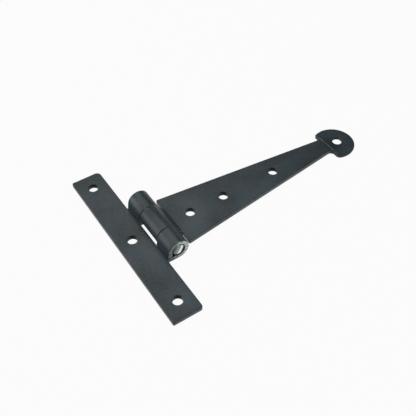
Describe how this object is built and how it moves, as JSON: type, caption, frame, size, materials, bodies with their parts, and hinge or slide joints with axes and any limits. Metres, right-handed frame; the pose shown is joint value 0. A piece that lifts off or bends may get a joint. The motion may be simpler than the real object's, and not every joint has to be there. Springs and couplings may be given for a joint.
{
  "type": "tee hinge",
  "caption": "Flat tee hinge: a short cross leaf and a long tapering strap leaf with a round end, curled from sheet on one pin.",
  "frame": {"origin": "middle screw hole of the cross leaf, on the mounting plane", "axes": "+X along the strap to its round end, +Y along the cross leaf, +Z out of the mounting face"},
  "size_m": [0.1727, 0.12, 0.0133],
  "materials": {
    "coated_leaf": "smooth semi-gloss black coating on steel sheet",
    "coated_strap": "smooth semi-gloss black coating on steel sheet",
    "coated_pin": "thin semi-gloss black coating on steel rod"
  },
  "bodies": {
    "cross_leaf": {"cross_leaf": "coated_leaf", "hinge_pin": "coated_pin"},
    "strap_leaf": {"strap_leaf": "coated_strap"}
  },
  "joints": [
    {"name": "strap_swing", "type": "hinge", "parent": "cross_leaf", "child": "strap_leaf", "pos_m": [0.0167, 0, 0.00665], "axis": [0, -1, 0], "range_deg": [-91, 193]}
  ]
}
